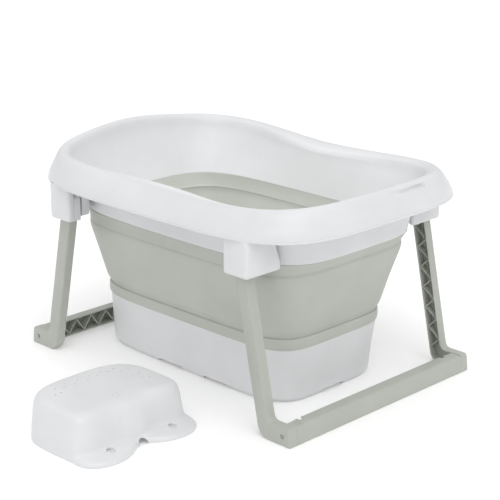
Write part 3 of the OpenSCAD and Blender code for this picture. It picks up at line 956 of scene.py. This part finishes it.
def seat():
    """The loose seat: a soft-edged shell with two front lobes, an arch and small grip holes."""
    h = SEAT_H
    side = smooth([
        seat_ring(2.4, 1, 0.0),
        seat_ring(0.8, 1, 0.6),
        seat_ring(0.1, 1, 2.4),
        seat_ring(0.1, 1, 5.2),
        seat_ring(0.9, 0.97, 8),
        seat_ring(1.4, 0.86, 10.3),
        seat_ring(1.6, 0.62, 12.1),
        seat_ring(1.8, 0.36, 13.7),
        seat_ring(2, 0.16, 16.2),
        seat_ring(2.3, 0.05, 22),
        seat_ring(3.6, 0, 32, -1),
        seat_ring(6.6, 0, h - 27, -1),
        seat_ring(9.2, 0, h - 14, 0),
        seat_ring(12.4, 0, h - 7.2, 3),
        seat_ring(17.4, 0, h - 3, 8),
        seat_ring(26, 0, h - 0.8, 14),
        seat_ring(38, 0, h, 22),
    ], 3)
    shares = (0.8, 0.6, 0.4, 0.2, 0.06)
    top = [seat_ring(38, 0, h, 22, k) for k in shares]
    under = [seat_ring(48, 0, h - 3, 22, k) for k in shares[::-1]] + smooth([
        seat_ring(48, 0, h - 3, 22),
        seat_ring(30, 0, h - 4, 12),
        seat_ring(19, 0, h - 9, 4),
        seat_ring(13, 0, h - 20, 0),
        seat_ring(7.6, 0, 32),
        seat_ring(6, 0.05, 20),
        seat_ring(5.4, 0.3, 11.4),
        seat_ring(5, 0.6, 9.4),
        seat_ring(4.4, 0.85, 7.6),
        seat_ring(3.6, 0.97, 5),
        seat_ring(3, 1, 0),
    ], 2)
    obj = make("seat_moulding", skin(under + side + top), SEAT_WHITE, 50)
    v, f = turned([(12, 130), (12, 210)], (0, 0, 0), count=48)
    arch = np.column_stack([v[:, 2], v[:, 1] + SEAT_Y + 2.5, v[:, 0] + 0.4])
    carved(obj, [(arch, f)], SEAT_WHITE, 50)
    wells = []
    for s in (-1, 1):
        profile = [(2, 11.2), (6.8, 11.2), (7.6, 11.6), (8.2, 12.6), (8.2, 40)]
        wells.append(turned(profile, (CUP_X, CUP_MID + s * CUP_Y, 0), count=48))
    carved(obj, wells, SEAT_WHITE, 50)
    carved(obj, grip_holes(), SEAT_WHITE, 50)
    return place(obj, "seat", "white_plastic", "seat_shell")


def hole_row(inside, first, step):
    """Points along the seat's back edge at equal steps, outwards from its middle both ways."""
    t = np.linspace(math.pi, math.radians(58), 400)
    r = seat_body(t, SEAT_FRONT) - inside
    line = np.stack([r * np.cos(t), r * np.sin(t)], 1)
    run = np.concatenate([[0], np.cumsum(np.linalg.norm(np.diff(line, axis=0), axis=1))])
    out = []
    for at in np.arange(first, run[-1], step):
        x = float(np.interp(at, run, line[:, 0]))
        y = float(np.interp(at, run, line[:, 1]))
        out.append((x, y))
        if y > 1 and x < -22:
            out.append((x, -y))
    return out


def grip_holes():
    """Two staggered rows of small holes along the seat's back, and a few in its middle."""
    points = hole_row(47, 14, 28) + hole_row(60, 0, 26)
    for i in range(3):
        for j in range(2):
            points.append((48 + 9 * j - 3 * i, -22 + 10 * i + 5 * j))
    out = []
    for x, y in points:
        out.append(turned([(1.2, SEAT_H - 2.2), (1.9, SEAT_H - 1.6), (2.3, SEAT_H + 3)],
                          (SEAT_X - SEAT_LEAN + x, SEAT_Y + y, 0), count=16))
    return out


def cups():
    """Suction cups under the seat's lobes, each with a button that fills the well above it."""
    parts = []
    for s in (-1, 1):
        parts.append(turned([
            (2, 1.5), (8, 0.9), (12.6, 0), (13, 0.2), (12.4, 1), (9, 2.4), (6, 3.6), (4.4, 4.6),
            (3.6, 6), (4.2, 8.4), (4, 11), (7.4, 11), (7.9, 11.3), (7.9, 12.6), (7.4, 13),
            (4, 13.2), (1, 13.2),
        ], (CUP_X, CUP_MID + s * CUP_Y, 0), count=48))
    obj = make("seat_cups", joined(parts), CUP, 40)
    return place(obj, "seat", "cup_soft", "seat_suction_cups")


# ---- stage ----
HORIZON = 0.56
ZENITH_GAIN = 0.56
FLOOR_HALF = 40
FLOOR_GLOW = 0.12
KEY_POWER = 0.9
KEY_SPREAD = 50
FILL_POWER = 0.42


def sky(world):
    """Soft light that grows from the horizon to the zenith."""
    world.use_nodes = True
    tree = world.node_tree
    node, link = tree.nodes.new, tree.links.new
    split = node("ShaderNodeSeparateXYZ")
    link(node("ShaderNodeTexCoord").outputs["Generated"], split.inputs[0])
    steps = (("MAXIMUM", (0.0,)), ("POWER", (2.0,)), ("MULTIPLY_ADD", (ZENITH_GAIN, HORIZON)))
    value = split.outputs["Z"]
    for operation, constants in steps:
        maths = node("ShaderNodeMath")
        maths.operation = operation
        link(value, maths.inputs[0])
        for i, constant in enumerate(constants):
            maths.inputs[i + 1].default_value = constant
        value = maths.outputs[0]
    background = tree.nodes["Background"]
    background.inputs[0].default_value = (1, 1, 1, 1)
    link(value, background.inputs[1])


def stage():
    """Pale floor and soft light."""
    scene = bpy.context.scene
    scene.view_settings.view_transform = "Standard"
    mesh = bpy.data.meshes.new("floor")
    plan = [(-FLOOR_HALF, -FLOOR_HALF, 0), (FLOOR_HALF, -FLOOR_HALF, 0)]
    plan += [(FLOOR_HALF, FLOOR_HALF, 0), (-FLOOR_HALF, FLOOR_HALF, 0)]
    mesh.from_pydata(plan, [], [(0, 1, 2, 3)])
    floor = bpy.data.objects.new("floor", mesh)
    scene.collection.objects.link(floor)
    paper = material("floor_paper", (0.95, 0.95, 0.95), 0.8, mottle=0.004, edge_highlight=0)
    shader = paper.node_tree.nodes["Principled BSDF"]
    shader.inputs["Emission Color"].default_value = (1, 1, 1, 1)
    shader.inputs["Emission Strength"].default_value = FLOOR_GLOW
    mesh.materials.append(paper)
    world = bpy.data.worlds.new("studio")
    scene.world = world
    sky(world)
    key = bpy.data.lights.new("key", "SUN")
    key.energy = KEY_POWER
    key.angle = math.radians(KEY_SPREAD)
    lamp = bpy.data.objects.new("key", key)
    scene.collection.objects.link(lamp)
    lamp.location = (2.1, -1.4, 3.6)
    lamp.rotation_euler = (-lamp.location).to_track_quat("-Z", "Y").to_euler()
    fill = bpy.data.lights.new("fill", "AREA")
    fill.shape = "RECTANGLE"
    fill.size, fill.size_y = 0.46, 0.26
    fill.energy = FILL_POWER
    lamp = bpy.data.objects.new("fill", fill)
    scene.collection.objects.link(lamp)
    lamp.location = (0, 0, 0.45)


def camera():
    """The view from the foot end's near corner."""
    azimuth, elevation = math.radians(44.858), math.radians(17.915)
    distance = 3.10863
    target = Vector((-0.05407, 0.06812, 0.2))
    back = Vector((
        math.sin(azimuth) * math.cos(elevation),
        -math.cos(azimuth) * math.cos(elevation),
        math.sin(elevation),
    ))
    data = bpy.data.cameras.new("camera")
    data.lens = 108
    data.sensor_width = 36
    obj = bpy.data.objects.new("camera", data)
    bpy.context.scene.collection.objects.link(obj)
    obj.location = target + back * distance
    obj.rotation_euler = (-back).to_track_quat("-Z", "Y").to_euler()
    bpy.context.scene.camera = obj


rim()
collar_upper()
fold_panel()
collar_lower()
pan()
plug()
sockets()
leg_frames()
seat()
cups()
stage()
camera()
